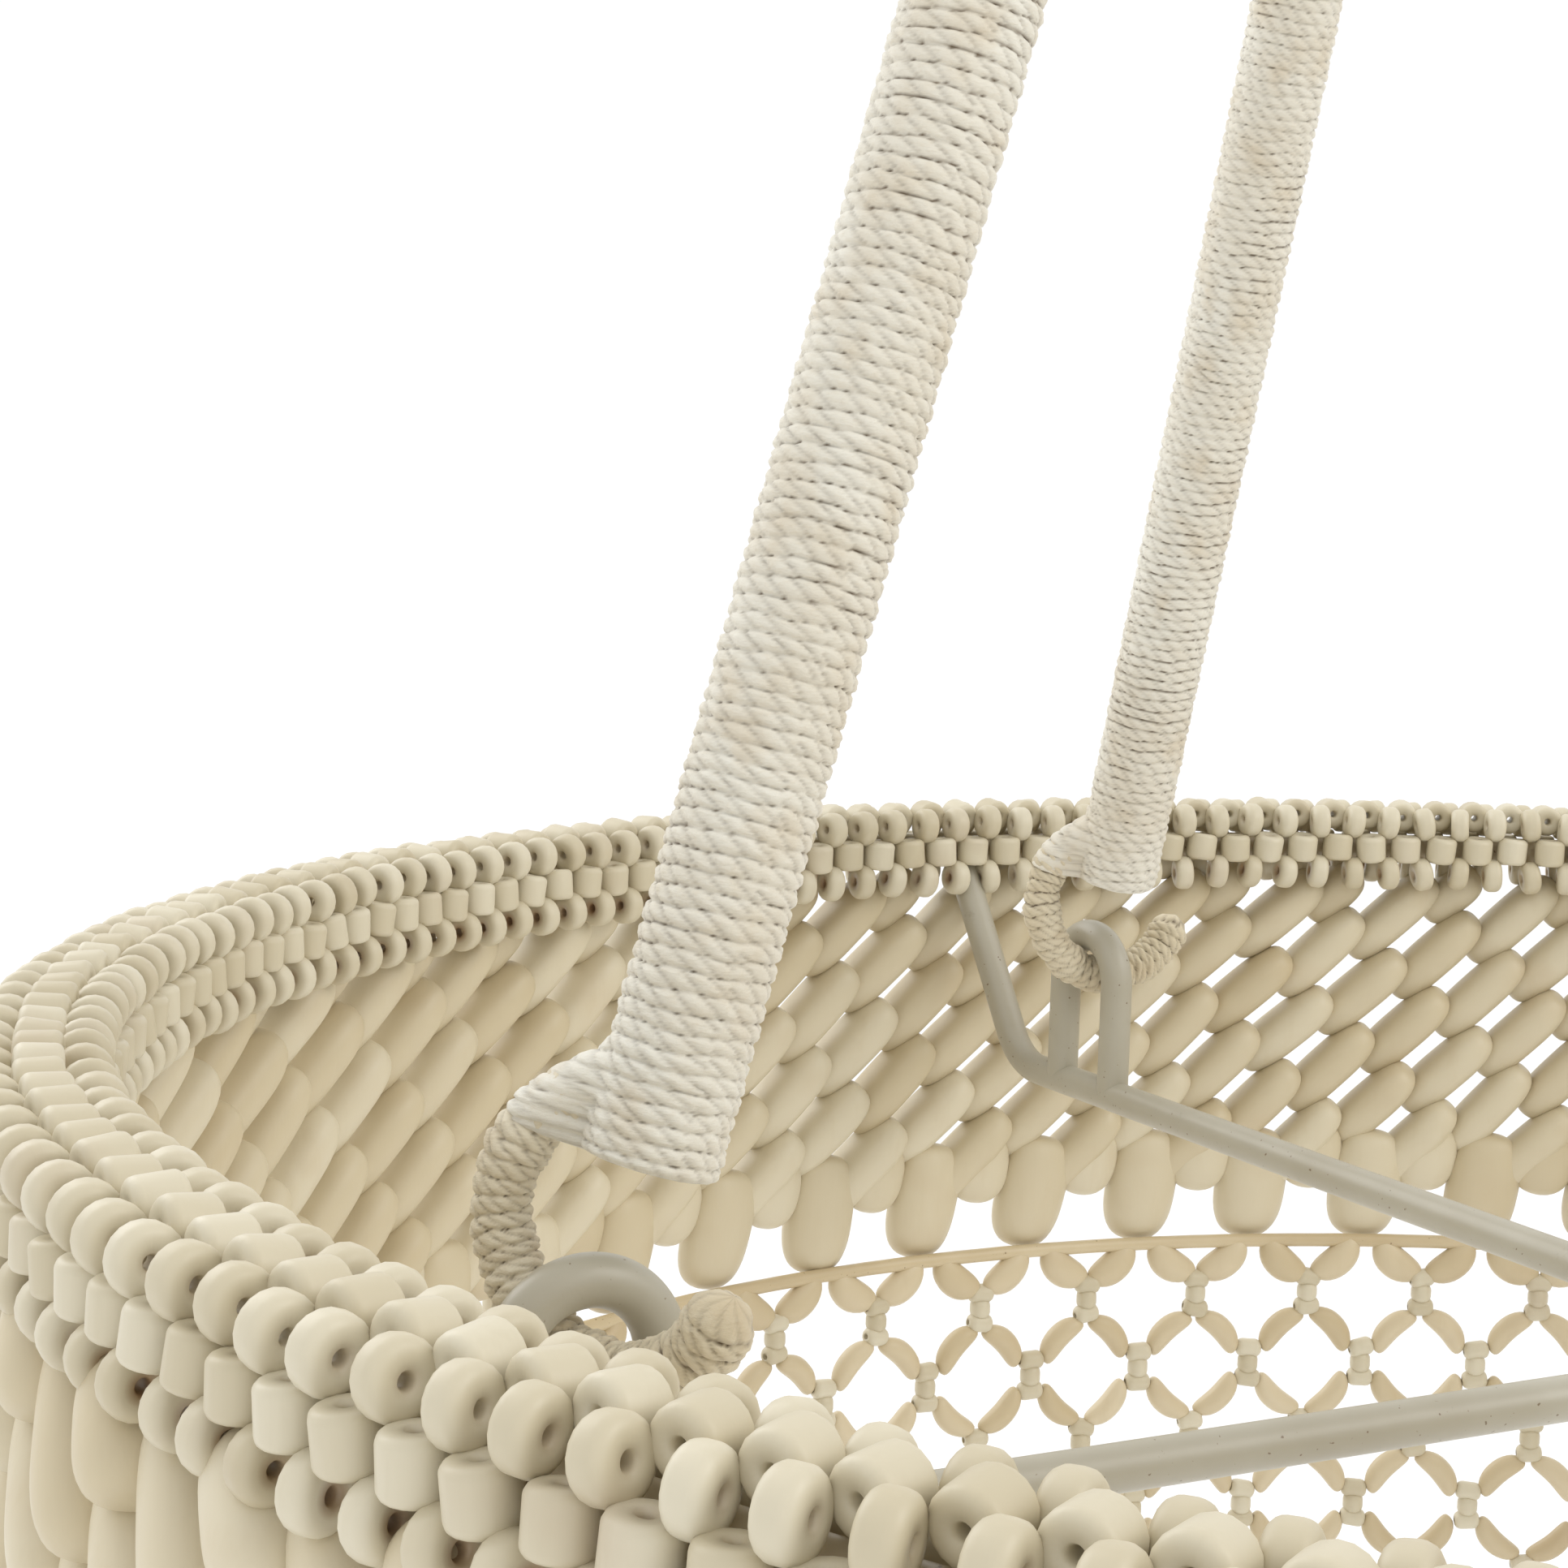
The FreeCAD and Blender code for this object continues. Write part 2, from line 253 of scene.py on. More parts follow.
class Nodes:
    def __init__(self, name):
        self.material = bpy.data.materials.new(name)
        self.material.use_nodes = True
        self.tree = self.material.node_tree
        self.shader = self.tree.nodes["Principled BSDF"]
        self.coords = self.add("ShaderNodeTexCoord").outputs["Object"]

    def add(self, kind, **inputs):
        node = self.tree.nodes.new(kind)
        for key, value in inputs.items():
            node.inputs[key.replace("_", " ")].default_value = value
        return node

    def link(self, a, b):
        self.tree.links.new(a, b)

    def noise(self, scale, detail=3.0, roughness=0.55, stretch=None):
        node = self.add("ShaderNodeTexNoise", Scale=scale, Detail=detail, Roughness=roughness)
        source = self.coords
        if stretch:
            mapping = self.add("ShaderNodeMapping")
            mapping.inputs["Scale"].default_value = stretch
            self.link(source, mapping.inputs["Vector"])
            source = mapping.outputs["Vector"]
        self.link(source, node.inputs["Vector"])
        return node.outputs["Fac"]

    def attribute(self, name):
        node = self.add("ShaderNodeAttribute")
        node.attribute_name = name
        return node.outputs["Fac"]

    def ramp(self, value, low, high, reach=1.0):
        node = self.add("ShaderNodeMapRange")
        node.inputs["From Min"].default_value = low
        node.inputs["From Max"].default_value = high
        node.inputs["To Max"].default_value = reach
        self.link(value, node.inputs["Value"])
        return node.outputs["Result"]

    def mix(self, factor, a, b):
        node = self.tree.nodes.new("ShaderNodeMix")
        node.data_type = "RGBA"
        self.link(factor, node.inputs["Factor"])
        for value, socket in ((a, node.inputs[6]), (b, node.inputs[7])):
            if isinstance(value, tuple):
                socket.default_value = value
            else:
                self.link(value, socket)
        return node.outputs[2]

    def bump(self, heights, distance, strength=1.0):
        node = self.add("ShaderNodeBump", Strength=strength, Distance=distance)
        self.link(heights, node.inputs["Height"])
        self.link(node.outputs["Normal"], self.shader.inputs["Normal"])

    def finish(self, base, roughness, by=None, **fixed):
        """roughness is one value, or the two ends of a range that the texture by runs over."""
        self.link(base, self.shader.inputs["Base Color"])
        if by is None:
            self.shader.inputs["Roughness"].default_value = roughness
        else:
            node = self.add("ShaderNodeMapRange")
            node.inputs["To Min"].default_value = roughness[0]
            node.inputs["To Max"].default_value = roughness[1]
            self.link(by, node.inputs["Value"])
            self.link(node.outputs["Result"], self.shader.inputs["Roughness"])
        for key, value in fixed.items():
            self.shader.inputs[key.replace("_", " ")].default_value = value
        return self.material


def twine_material(name, light, mid, warm, groove_shade_colour):
    n = Nodes(name)
    patches = n.ramp(n.noise(38.0, 3.0), 0.35, 0.68)
    fibres = n.noise(900.0, 4.0, 0.65, (1.0, 1.0, 3.2))
    base = n.mix(patches, light, mid)
    base = n.mix(n.ramp(n.noise(120.0, 2.0), 0.52, 0.78, 0.55), base, warm)
    base = n.mix(n.ramp(fibres, 0.5, 0.82, 0.35), base, warm)
    # Painted shade: the grooves between turns and plies are darkened toward the last colour.
    base = n.mix(n.attribute("groove_shade"), base, groove_shade_colour)
    n.bump(fibres, 0.00022, 0.75)
    return n.finish(base, (0.68, 0.9), fibres, Sheen_Weight=0.18, Sheen_Roughness=0.5)


def bead_material(name, light, mid, brown_and_hole_shade, rough=0.42):
    n = Nodes(name)
    base = n.mix(n.ramp(n.attribute("tone"), 0.0, 1.0), light, mid)
    grain = n.noise(260.0, 4.0, 0.6, (1.0, 1.0, 0.25))
    base = n.mix(n.ramp(grain, 0.52, 0.85, 0.4), base, mid)
    base = n.mix(n.ramp(n.noise(55.0, 2.0), 0.55, 0.8, 0.25), base, brown_and_hole_shade)
    # Brown round each hole: partly the string's colour, partly painted shade in the hole. The patches above
    # are the beads' own random blotches.
    base = n.mix(n.ramp(n.attribute("brown_and_hole_shade"), 0.15, 0.95, 0.85), base, brown_and_hole_shade)
    n.bump(grain, 0.00012, 0.5)
    return n.finish(base, (rough - 0.08, rough + 0.18), grain, Coat_Weight=0.12, Coat_Roughness=0.35)


def paint_material(name, light, mid, chip):
    n = Nodes(name)
    blotch = n.noise(30.0, 4.0)
    base = n.mix(n.ramp(blotch, 0.35, 0.7), light, mid)
    specks = n.ramp(n.noise(1100.0, 1.0), 0.73, 0.78, 0.9)
    base = n.mix(specks, base, chip)
    scuffs = n.ramp(n.noise(70.0, 5.0, 0.7), 0.66, 0.74, 0.35)
    base = n.mix(scuffs, base, chip)
    n.bump(n.noise(420.0, 3.0), 0.00008, 0.5)
    return n.finish(base, (0.3, 0.52), blotch, Coat_Weight=0.2, Coat_Roughness=0.3)


def steel_material():
    n = Nodes("brushed_steel")
    lines = n.noise(700.0, 3.0, 0.6, (1.0, 1.0, 9.0))
    base = n.mix(n.ramp(lines, 0.3, 0.7), colour(176, 172, 164), colour(128, 124, 117))
    n.bump(lines, 0.00004, 0.4)
    return n.finish(base, (0.26, 0.46), lines, Metallic=1.0)


# The last colour of each twine is the painted shade in its grooves.
TWINE = twine_material("twine", colour(231, 228, 216), colour(221, 214, 197), colour(208, 192, 163),
                       colour(98, 80, 56))
HOOK_TWINE = twine_material("hook_twine", colour(220, 211, 188), colour(208, 195, 165),
                            colour(190, 170, 135), colour(90, 72, 50))
BEADS = bead_material("small_beads", colour(213, 205, 182), colour(196, 185, 157), colour(146, 108, 68))
PETALS = bead_material("petal_beads", colour(212, 202, 176), colour(200, 186, 154), colour(184, 158, 118),
                       0.45)
NET_BEADS = bead_material("net_beads", colour(212, 198, 168), colour(196, 179, 144), colour(168, 141, 104))
# Painted shade: the frame's satin paint is really off-white, but its colours are set much darker so the
# frame reads as shaded.
SHADED_PAINT = paint_material("shaded_satin_paint", colour(176, 171, 154), colour(165, 158, 139), colour(112, 92, 68))
RING_PAINT = paint_material("ring_paint", colour(206, 190, 156), colour(192, 173, 136), colour(130, 104, 72))
STEEL = steel_material()


def dress_cad():
    special = dict.fromkeys(("hanging_ring", "swivel_eye", "swivel_nut"), STEEL)
    special.update(dict.fromkeys(("rim_ring", "band_ring", "base_ring"), RING_PAINT))
    for name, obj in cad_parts.items():
        obj.data.materials.clear()
        # Every other part gets the darkened paint, which is painted shade.
        obj.data.materials.append(special.get(name, SHADED_PAINT))


dress_cad()


# ---------------------------------------------------------------- twine wound on a bar
ROD_FOOT_R = 186.5
ROD_FOOT_Z = -5.2
ROD_MEET_Z = 661.2
ARCH_R = 193.5
HOOK_BEND_R = 16.5
HOOK_SHIFT = 4.0
HOOK_TIP = -25.0
HOOK_NECK_Z = 5.5
HOOKS = ((90.0, -9.2), (-90.0, -9.2), (118.0, -10.6), (90.0, -9.2))
TWINE_PITCH = 2.1
HOOK_PITCH = 2.15
PLY_STEP = 3.2           # length of twine between one ply line and the next
ROD_CORE = 7.3           # radius that the rod's twine stands on
ROD_TWINE_R = 7.6        # radius at which the rod's winding is laid out
SLEEVE_BORE = 6.4        # inside of the rod's twine, just off its tube
SLEEVE_EDGE = 6.45       # radius of the winding's two ends
BULGE_LENGTH = 36.0      # stretch of the rod that the hook's root can raise
BULGE_OUT = 13.5         # hook points farther than this from the rod's axis raise nothing
ROOT_R = 3.9             # radius of the hook's root under the rod's twine
HOOK_CORE = 2.85
HOOK_TWINE_R = 3.5
TIP_FLARE = 0.55
TIP_ROUND = 1.3          # length over which the tip rounds off
TIP_R = 0.35
TIP_DOME = 2.3           # how far the tip stands out past the wire's end


def cubic_through(points, step):
    """A natural cubic spline through points, sampled evenly along its length."""
    points = np.asarray(points, float)
    gaps = np.linalg.norm(np.diff(points, axis=0), axis=1)
    t = np.concatenate([[0.0], np.cumsum(gaps)])
    n = len(points)
    system = np.zeros((n, n))
    right = np.zeros((n, 3))
    system[0, 0] = system[-1, -1] = 1.0
    for i in range(1, n - 1):
        system[i, i - 1] = gaps[i - 1]
        system[i, i] = 2.0 * (gaps[i - 1] + gaps[i])
        system[i, i + 1] = gaps[i]
        ahead = (points[i + 1] - points[i]) / gaps[i]
        behind = (points[i] - points[i - 1]) / gaps[i - 1]
        right[i] = 6.0 * (ahead - behind)
    m = np.linalg.solve(system, right)
    fine = np.linspace(0.0, t[-1], 3000)
    seg = np.clip(np.searchsorted(t, fine, "right") - 1, 0, n - 2)
    h = gaps[seg][:, None]
    a = (t[seg + 1] - fine)[:, None]
    b = (fine - t[seg])[:, None]
    curve = (m[seg] * a**3 + m[seg + 1] * b**3) / (6.0 * h)
    curve += (points[seg] / h - m[seg] * h / 6.0) * a + (points[seg + 1] / h - m[seg + 1] * h / 6.0) * b
    length = np.concatenate([[0.0], np.cumsum(np.linalg.norm(np.diff(curve, axis=0), axis=1))])
    even = np.linspace(0.0, length[-1], int(length[-1] / step) + 1)
    return np.stack([np.interp(even, length, curve[:, k]) for k in range(3)], -1), even


def hook_centre(azimuth, turn_deg, centre_z):
    """Points along one hook from its tip, round the bend and up to its rod."""
    out, _, _ = wheel(np.array(azimuth))
    turn = math.radians(azimuth + turn_deg)
    along = np.array([math.cos(turn), math.sin(turn), 0.0])
    up = np.array([0.0, 0.0, 1.0])
    centre = out * ARCH_R + up * to_frame(centre_z) + along * HOOK_SHIFT
    points = []
    for k in range(9):
        a = math.radians(HOOK_TIP - (180.0 + HOOK_TIP) * k / 8)
        points.append(centre + along * HOOK_BEND_R * math.cos(a) + up * HOOK_BEND_R * math.sin(a))
    leg = points[-1]
    reach = (HOOK_NECK_Z - ROD_FOOT_Z) / (ROD_MEET_Z - ROD_FOOT_Z)
    neck = out * ROD_FOOT_R * (1.0 - reach) + up * to_frame(HOOK_NECK_Z)
    across = (neck - leg) * np.array([1.0, 1.0, 0.0])
    rise = neck[2] - leg[2]
    points.append(leg + across * 0.07 + up * rise * 0.36)
    points.append(leg + across * 0.38 + up * rise * 0.76)
    points.append(neck)
    return points


def carry_frames(centre):
    """Two directions across a path, carried along it without twist."""
    tangent = np.gradient(centre, axis=0)
    tangent /= np.linalg.norm(tangent, axis=1)[:, None]
    side = np.cross(tangent[0], (0.0, 0.0, 1.0))
    if np.linalg.norm(side) < 1e-3:
        side = np.array((1.0, 0.0, 0.0))
    sides = np.empty_like(centre)
    for i, t in enumerate(tangent):
        side = side - t * side.dot(t)
        side /= np.linalg.norm(side)
        sides[i] = side
    return tangent, sides, np.cross(tangent, sides)


def wound(s, theta, radius, pitch, strand, seed, ply=PLY_STEP, slant=0.95):
    """Height of two-ply twine wound round a bar, and how much painted shade each point gets in the grooves
    between turns and plies.
    """
    loose = Waves(seed, 9.0)
    slow = Waves(seed + 1, 60.0)
    lay = Waves(seed + 2, 26.0)
    fluff = Waves(seed + 3, 1.6)
    around_mm = theta * radius
    flat_x = radius * np.cos(theta)
    flat_y = radius * np.sin(theta)
    phase = s / pitch - theta / TAU
    phase = phase + 0.075 * loose(s, flat_x, flat_y)
    phase = phase + 0.16 * slow(s, flat_x, flat_y)
    turn = np.floor(phase)
    x = 2.0 * (phase - turn) - 1.0
    along = around_mm + turn * TAU * radius
    q = along / ply + slant * 0.5 * x + 0.25 * lay(s, flat_x, flat_y)
    q = q + 0.31 * np.sin(turn * 2.399)
    y = 2.0 * (q - np.floor(q)) - 1.0
    body = np.sqrt(np.clip(1.0 - np.abs(0.99 * x) ** 3.0, 0.0, 1.0))
    plies = np.sqrt(np.clip(1.0 - np.abs(0.99 * y) ** 2.4, 0.0, 1.0))
    swell = 1.0 + 0.10 * np.sin(turn * 1.7) + 0.06 * fluff(s, around_mm)
    height = strand * swell * body * (0.42 + 0.58 * plies)
    edge = np.exp(-(((1.0 - np.abs(x)) / 0.17) ** 2))
    seam = np.exp(-(((1.0 - np.abs(y)) / 0.20) ** 2))
    patchy = np.clip(slow(s + 31.0, flat_x, flat_y), -1.0, 1.0)
    open_turn = np.clip(patchy - 0.35, 0.0, 1.0) * (np.sin(turn * 4.1) > 0.2)
    # Painted shade in the grooves, strongest where a turn stands open.
    groove_shade = edge * (0.06 + 1.1 * open_turn) + edge * seam * (0.75 + 0.3 * patchy) + 0.26 * seam
    return height, np.clip(groove_shade, 0, 1)


def twine_piece(name, verts, quads, groove_shade, material, replaced):
    obj = new_mesh(name, verts.reshape(-1, 3) * MM, quads, {"groove_shade": groove_shade.ravel()})
    obj.data.materials.append(material)
    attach(obj, "hanger")
    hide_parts(replaced)


def rod_twine(number, azimuth):
    """The twine on one rod, with a bulge where it also covers the root of the hook."""
    turn_deg, centre_z = HOOKS[number - 1]
    around = 96 if number == 3 else 80
    step = 0.27 if number == 3 else 0.32
    out, side, up = (np.array(v) for v in wheel(np.array(azimuth)))
    foot = out * ROD_FOOT_R + up * to_frame(ROD_FOOT_Z)
    axis = up * to_frame(ROD_MEET_Z) - foot
    axis /= np.linalg.norm(axis)
    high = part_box("rod_wrap_%d" % number)[1]
    stop = (high.z / MM - foot[2]) / axis[2] - 1.2
    rows = int(stop / step)
    s = np.linspace(0.0, stop, rows)[:, None]
    theta = np.linspace(0.0, TAU, around, endpoint=False)[None, :]
    other = np.cross(axis, side)
    height, groove_shade = wound(s, theta, ROD_TWINE_R, TWINE_PITCH, 0.85, 40 + number)
    radius = ROD_CORE + height
    hook, _ = cubic_through(hook_centre(azimuth, turn_deg, centre_z), 0.5)
    offset = hook - foot
    hook_s = offset @ axis
    flat = offset - hook_s[:, None] * axis
    hook_r = np.linalg.norm(flat, axis=1)
    hook_theta = np.arctan2(flat @ other, flat @ side)
    near = s[:, 0] < BULGE_LENGTH
    bulge = np.zeros((int(near.sum()), around))
    for r, t, z in zip(hook_r, hook_theta, hook_s):
        if z < -3.0 or z > 30.0 or r > BULGE_OUT:
            continue
        d = theta - t
        reach = ROOT_R**2 - (r * np.sin(d)) ** 2 - (s[near] - z) ** 2
        hit = r * np.cos(d) + np.sqrt(np.clip(reach, 0.0, None))
        bulge = np.maximum(bulge, np.where((reach > 0.0) & (np.cos(d) > 0.0), hit, 0.0))
    core = np.full_like(bulge, ROD_CORE)
    lifted = (core**7 + np.clip(bulge - 0.6, 0.0, None) ** 7) ** (1.0 / 7.0)
    radius[near] = lifted + height[near]
    end = np.minimum(s, stop - s)
    round_off = np.sqrt(np.clip(1.0 - (1.0 - np.clip(end / 1.1, 0.0, 1.0)) ** 2, 0.0, 1.0))
    radius = SLEEVE_EDGE + (radius - SLEEVE_EDGE) * round_off
    ring = np.cos(theta)[..., None] * side + np.sin(theta)[..., None] * other
    verts = foot + s[..., None] * axis + radius[..., None] * ring
    inner_lo = foot + axis * 0.9 + SLEEVE_BORE * ring[0]
    inner_hi = foot + axis * (stop - 0.9) + SLEEVE_BORE * ring[0]
    verts = np.concatenate([inner_lo[None], verts, inner_hi[None]])
    groove_shade = np.concatenate([groove_shade[:1], groove_shade, groove_shade[-1:]])
    quads = grid_quads(rows + 2, around, True)
    twine_piece("twine_rod_%d" % number, verts, quads, groove_shade, TWINE, "rod_wrap_%d" % number)


def hook_twine(number, azimuth):
    """The twine on one hook, flared at the tip and domed over the wire's cut end."""
    turn_deg, centre_z = HOOKS[number - 1]
    around = 64
    centre, s = cubic_through(hook_centre(azimuth, turn_deg, centre_z), 0.25)
    tangent, side, other = carry_frames(centre)
    theta = np.linspace(0.0, TAU, around, endpoint=False)[None, :]
    height, groove_shade = wound(s[:, None], theta, HOOK_TWINE_R, HOOK_PITCH, 0.9, 60 + number, 2.6, 1.3)
    flare = TIP_FLARE * np.exp(-((s[:, None] / 6.0) ** 2))
    bulk = HOOK_CORE + flare + 0.16 * Waves(70 + number, 11.0)(s[:, None])
    radius = bulk + height
    end = np.clip(s[:, None] / TIP_ROUND, 0.0, 1.0)
    radius = TIP_R + (radius - TIP_R) * np.sqrt(np.clip(1.0 - (1.0 - end) ** 2, 0.0, 1.0))
    ring = np.cos(theta)[..., None] * side[:, None, :] + np.sin(theta)[..., None] * other[:, None, :]
    beyond = TIP_DOME * (1.0 - end) ** 2 * tangent
    verts = (centre - beyond)[:, None, :] + radius[..., None] * ring
    quads = grid_quads(len(s), around)
    lid = lid_quads(around)
    quads = np.concatenate([quads, lid[:, ::-1], lid + (len(s) - 1) * around])
    twine_piece("twine_hook_%d" % number, verts, quads, groove_shade, HOOK_TWINE, "hook_wrap_%d" % number)


for number, azimuth in enumerate(ROD_AZIMUTHS, 1):
    rod_twine(number, azimuth)
    hook_twine(number, azimuth)


# ---------------------------------------------------------------- small beads round the rim
DISC_ROWS = (            # node, radius, height, strength of the brown round each hole (partly string colour, partly painted shade)
    ("rim_discs_outer", 253.6, -0.6, 0.4),
    ("rim_discs_inner", 242.4, -0.6, 0.4),
    ("collar_discs_outer", 254.5, -11.9, 0.95),
    ("collar_discs_inner", 241.5, -11.9, 0.95),
)
COLLAR_BARRELS = (("outer", 254.5), ("inner", 241.5))
RIM_BARREL_Z = 0.6
COLLAR_BARREL_Z = -6.3
BASE_R = 247.0


def bead_rows():
    rng = np.random.default_rng(11)
    disc = ring_bead(3.7, 1.95, 0.75, 20, 0.72)
    barrel = ring_bead(3.3, 2.9, 0.7, 18, 0.45)
    whole = np.arange(ROUND) * 360.0 / ROUND
    between = whole + 180.0 / ROUND
    for name, r, z, hole_shade_strength in DISC_ROWS:
        out, along, up = wheel(whole)
        jitter = rng.normal(0.0, 0.16, (ROUND, 3))
        places = out * r + up * to_frame(z) + jitter
        axes = tilt(np.stack([out, up, along], -1), rng, 4.5)
        scatter(name + "_beads", disc, places, axes, len(name), (name,), BEADS, hole_shade_strength)
    out, along, up = wheel(between)
    places = out * RIM_R + up * to_frame(RIM_BARREL_Z) + rng.normal(0.0, 0.12, (ROUND, 3))
    axes = tilt(np.stack([along, up, out], -1), rng, 4.0)
    scatter("rim_barrels_top_beads", barrel, places, axes, 3, ("rim_barrels_top",), BEADS, 0.2)
    for side, r in COLLAR_BARRELS:
        places = out * r + up * to_frame(COLLAR_BARREL_Z) + rng.normal(0.0, 0.12, (ROUND, 3))
        axes = tilt(np.stack([out, along, up], -1), rng, 4.0)
        name = "collar_barrels_" + side
        scatter(name + "_beads", barrel, places, axes, 5, (name,), BEADS, 0.3)
    low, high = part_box("base_discs")
    base = (low.z + high.z) / 2.0 / MM
    out, along, up = wheel(whole)
    places = out * BASE_R + np.array([0.0, 0.0, base]) + rng.normal(0.0, 0.12, (ROUND, 3))
    axes = tilt(np.stack([out, up, along], -1), rng, 3.5)
    scatter("base_beads", disc, places, axes, 9, ("base_discs",), BEADS)


bead_rows()


# ---------------------------------------------------------------- petal band
PETAL_ROWS = 8
PETAL_PITCH_Z = 8.85
PETAL_SHIFT = -2.35      # degrees from each row to the row below
PETAL_TOP_ROW = -14.07
PETAL_R = 251.3
PETAL_PHASE = 67.75      # azimuth of one petal in the top row
PETAL_SIZE = (26.0, 9.4, 12.6)       # length, width and thickness
PETAL_SLOPE = math.radians(48.0)
PETAL_LEAN = math.radians(15.0)
TOP_ROW_SCALE = (0.6, 1.0, 0.9)      # the top row is tucked under the collar
TOP_ROW_DROP = 5.0
UPRIGHT = math.radians(82.0)
SKIRT_PHASE = 72.3       # azimuth of one upright petal above the band ring
SKIRT_SIZE = (26.0, 16.8, 10.5)
SKIRT_Z = -85.4
SKIRT_LEAN = math.radians(6.0)
GUSSET_SIZE = (16.5, 14.5, 8.5)      # short petals that close the wall between the upright ones
GUSSET_Z = -78.6
GUSSET_LEAN = math.radians(4.0)


def petal_axes(out, along, up, slope, lean):
    """Long axis, width and face of a petal from the wall's own directions. It slants in the wall,
    and its lower end leans outwards."""
    in_wall = math.sin(slope) * up - math.cos(slope) * along
    long_axis = in_wall * math.cos(lean) - out * math.sin(lean)
    face = out - long_axis * np.sum(out * long_axis, axis=1)[:, None]
    face /= np.linalg.norm(face, axis=1)[:, None]
    return np.stack([long_axis, np.cross(face, long_axis), face], -1)


def petal_band():
    rng = np.random.default_rng(21)
    template = pod(*PETAL_SIZE, along=24, around=24, blunt=3.1, square=2.5)
    places = []
    axes = []
    for row in range(PETAL_ROWS):
        az = PETAL_PHASE + PETAL_SHIFT * row + np.arange(CELLS) * 360.0 / CELLS
        out, along, up = wheel(az)
        turned = petal_axes(out, along, up, PETAL_SLOPE, PETAL_LEAN)
        spots = out * PETAL_R + up * to_frame(PETAL_TOP_ROW - PETAL_PITCH_Z * row)
        if row == 0:
            spots = spots - turned[:, :, 0] * TOP_ROW_DROP
            turned = turned * np.array(TOP_ROW_SCALE)
        places.append(spots)
        axes.append(turned)
    places = np.concatenate(places) + rng.normal(0.0, 0.15, (PETAL_ROWS * CELLS, 3))
    axes = tilt(np.concatenate(axes), rng, 2.0)
    scatter("petals", template, places, axes, 23, ("petal_band",), PETALS)
    skirt = pod(*SKIRT_SIZE, along=24, around=20, blunt=2.8)
    out, along, up = wheel(SKIRT_PHASE + np.arange(CELLS) * 360.0 / CELLS)
    places = out * (PETAL_R - 0.6) + up * to_frame(SKIRT_Z) + rng.normal(0.0, 0.2, (CELLS, 3))
    axes = tilt(petal_axes(out, along, up, UPRIGHT, SKIRT_LEAN), rng, 2.0)
    scatter("petal_skirt", skirt, places, axes, 24, (), PETALS)
    gusset = pod(*GUSSET_SIZE, along=20, around=20, blunt=2.4)
    out, along, up = wheel(SKIRT_PHASE + (np.arange(CELLS) + 0.5) * 360.0 / CELLS)
    places = out * (PETAL_R - 1.4) + up * to_frame(GUSSET_Z) + rng.normal(0.0, 0.2, (CELLS, 3))
    axes = tilt(petal_axes(out, along, up, UPRIGHT, GUSSET_LEAN), rng, 2.0)
    scatter("petal_gussets", gusset, places, axes, 25, (), PETALS)


petal_band()


# ---------------------------------------------------------------- net wall
NET_R = 247.0
CREST_AZ = 75.4          # azimuth of one crest of the first full row
CREST_Z = -113.6
TROUGH_Z = -123.4
FIRST_CREST_Z = -99.4    # row 0 hangs from the band ring
FIRST_TROUGH_Z = -106.8
NET_PITCH = 16.8
NET_ROWS = 9
LENS_BEND = 1.5
LENS_RUN = 0.74          # run of a lens along the wall, as a share of half a cell; sets its slope


def net_wall():
    rng = np.random.default_rng(31)
    bends = (LENS_BEND, -LENS_BEND)
    lenses = [pod(12.6, 5.3, 4.8, along=16, around=12, blunt=2.7, bend=lift) for lift in bends]
    knot = ring_bead(2.1, 2.9, 0.45, 14, 1.0, 4)
    hanger = pod(13.2, 7.4, 5.2, along=16, around=14, blunt=2.3, bend=1.2)
    slope = LENS_RUN * math.radians(CELL / 2.0) * NET_R
    for row in range(NET_ROWS):
        crest = CREST_AZ + (row - 1) * CELL / 2.0 + np.arange(CELLS) * CELL
        top = CREST_Z - NET_PITCH * (row - 1)
        low = TROUGH_Z - NET_PITCH * (row - 1)
        if row == 0:
            top = FIRST_CREST_Z
            low = FIRST_TROUGH_Z
        places = []
        axes = []
        for direction in (1.0, -1.0):
            az = crest + direction * CELL / 4.0
            out, along, up = wheel(az)
            run = along * direction * slope - up * (top - low)
            run /= np.linalg.norm(run, axis=1)[:, None]
            across = np.cross(out, run)
            across *= np.sign(across[:, 2])[:, None]
            face = np.cross(run, across)
            places.append(out * NET_R + up * to_frame((top + low) / 2.0))
            axes.append(np.stack([run, across, face], -1))
        name = "net_beads_%d" % row
        spots = np.concatenate(places) + rng.normal(0.0, 0.15, (2 * CELLS, 3))
        turned = tilt(np.concatenate(axes), rng, 2.5)
        template = lenses[row % 2] if row else hanger
        scatter(name, template, spots, turned, 32 + row, ("net_row_%d" % row,), NET_BEADS)
        nodes = []
        for az, z in ((crest, top), (crest + CELL / 2.0, low)):
            if row == 0 and z == top:
                continue
            out, along, up = wheel(az)
            nodes.append((out * NET_R + up * to_frame(z), np.stack([out, up, along], -1)))
        spots = np.concatenate([a for a, _ in nodes])
        turned = tilt(np.concatenate([b for _, b in nodes]), rng, 6.0)
        scatter("net_knots_%d" % row, knot, spots, turned, 50 + row, (), BEADS, 0.2)
        if row < NET_ROWS - 1:
            links(row, crest + CELL / 2.0, low, CREST_Z - NET_PITCH * row)


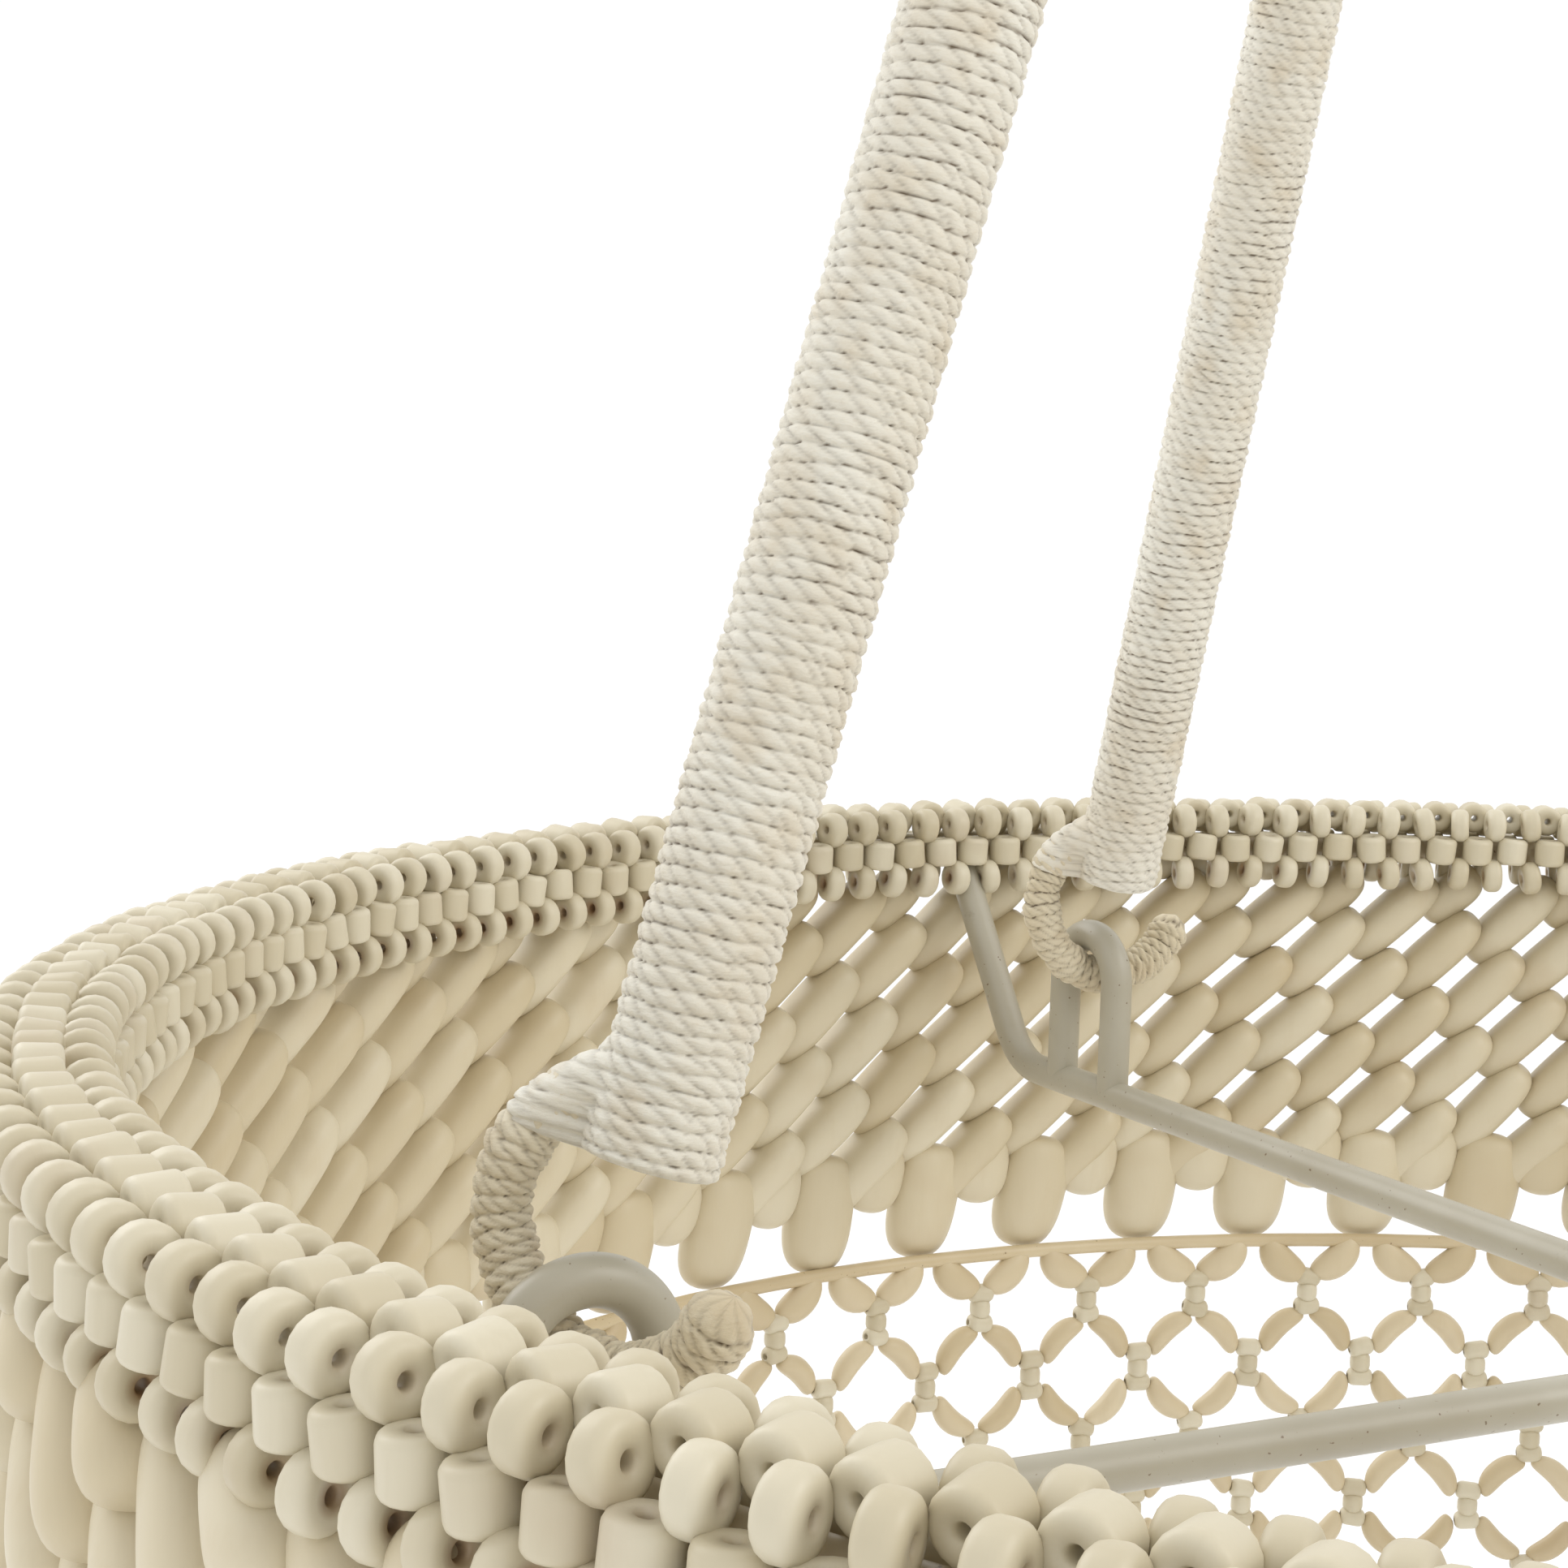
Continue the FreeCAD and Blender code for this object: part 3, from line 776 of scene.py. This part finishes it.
def links(row, azimuths, top, bottom):
    """The ties from each trough to the crest below it."""
    out, along, up = wheel(azimuths)
    tie = ring_bead(2.3, (top - bottom) / 2.0 - 1.1, 0.5, 14, 1.0, 4)
    places = out * NET_R + up * to_frame((top + bottom) / 2.0)
    axes = np.stack([out, along, up], -1)
    scatter("net_ties_%d" % row, tie, places, axes, 70 + row, (), BEADS, 0.2)


net_wall()


# ---------------------------------------------------------------- studio
FLOOR_HALF = 14.0        # metres, as are the drop and the lamps' spots and sizes
FLOOR_DROP = 0.45
WHITE = (1.0, 1.0, 1.0, 1.0)
LAMPS = (                # name, spot, size, watts, tint
    ("key", (0.9, -1.1, RIM_PLANE + 1.1), 0.9, 9.0, (1.0, 0.97, 0.93)),
    ("back", (-0.6, 1.3, RIM_PLANE + 0.9), 1.1, 8.0, (1.0, 0.99, 0.97)),
)


def studio():
    scene = bpy.context.scene
    scene.view_settings.view_transform = "Standard"
    scene.view_settings.look = "None"
    world = bpy.data.worlds.new("studio")
    scene.world = world
    world.use_nodes = True
    sky = world.node_tree.nodes["Background"]
    sky.inputs["Color"].default_value = WHITE
    sky.inputs["Strength"].default_value = 1.02
    height = cad_lo.z - FLOOR_DROP
    signs = ((-1, -1), (1, -1), (1, 1), (-1, 1))
    corners = [(a * FLOOR_HALF, b * FLOOR_HALF, height) for a, b in signs]
    floor = new_mesh("floor", corners, [(0, 1, 2, 3)], smooth=False)
    n = Nodes("floor_paper")
    base = n.mix(n.ramp(n.noise(3.0), 0.3, 0.7), (0.88, 0.88, 0.88, 1.0), (0.86, 0.86, 0.86, 1.0))
    floor.data.materials.append(n.finish(base, 0.9, Emission_Color=WHITE, Emission_Strength=0.15))
    aim = Vector((0.0, 0.0, RIM_PLANE))
    for name, spot, size, power, tint in LAMPS:
        data = bpy.data.lights.new(name, "AREA")
        data.size = size
        data.energy = power
        data.color = tint
        lamp = bpy.data.objects.new(name, data)
        scene.collection.objects.link(lamp)
        lamp.location = spot
        lamp.rotation_euler = (aim - Vector(spot)).to_track_quat("-Z", "Y").to_euler()


studio()
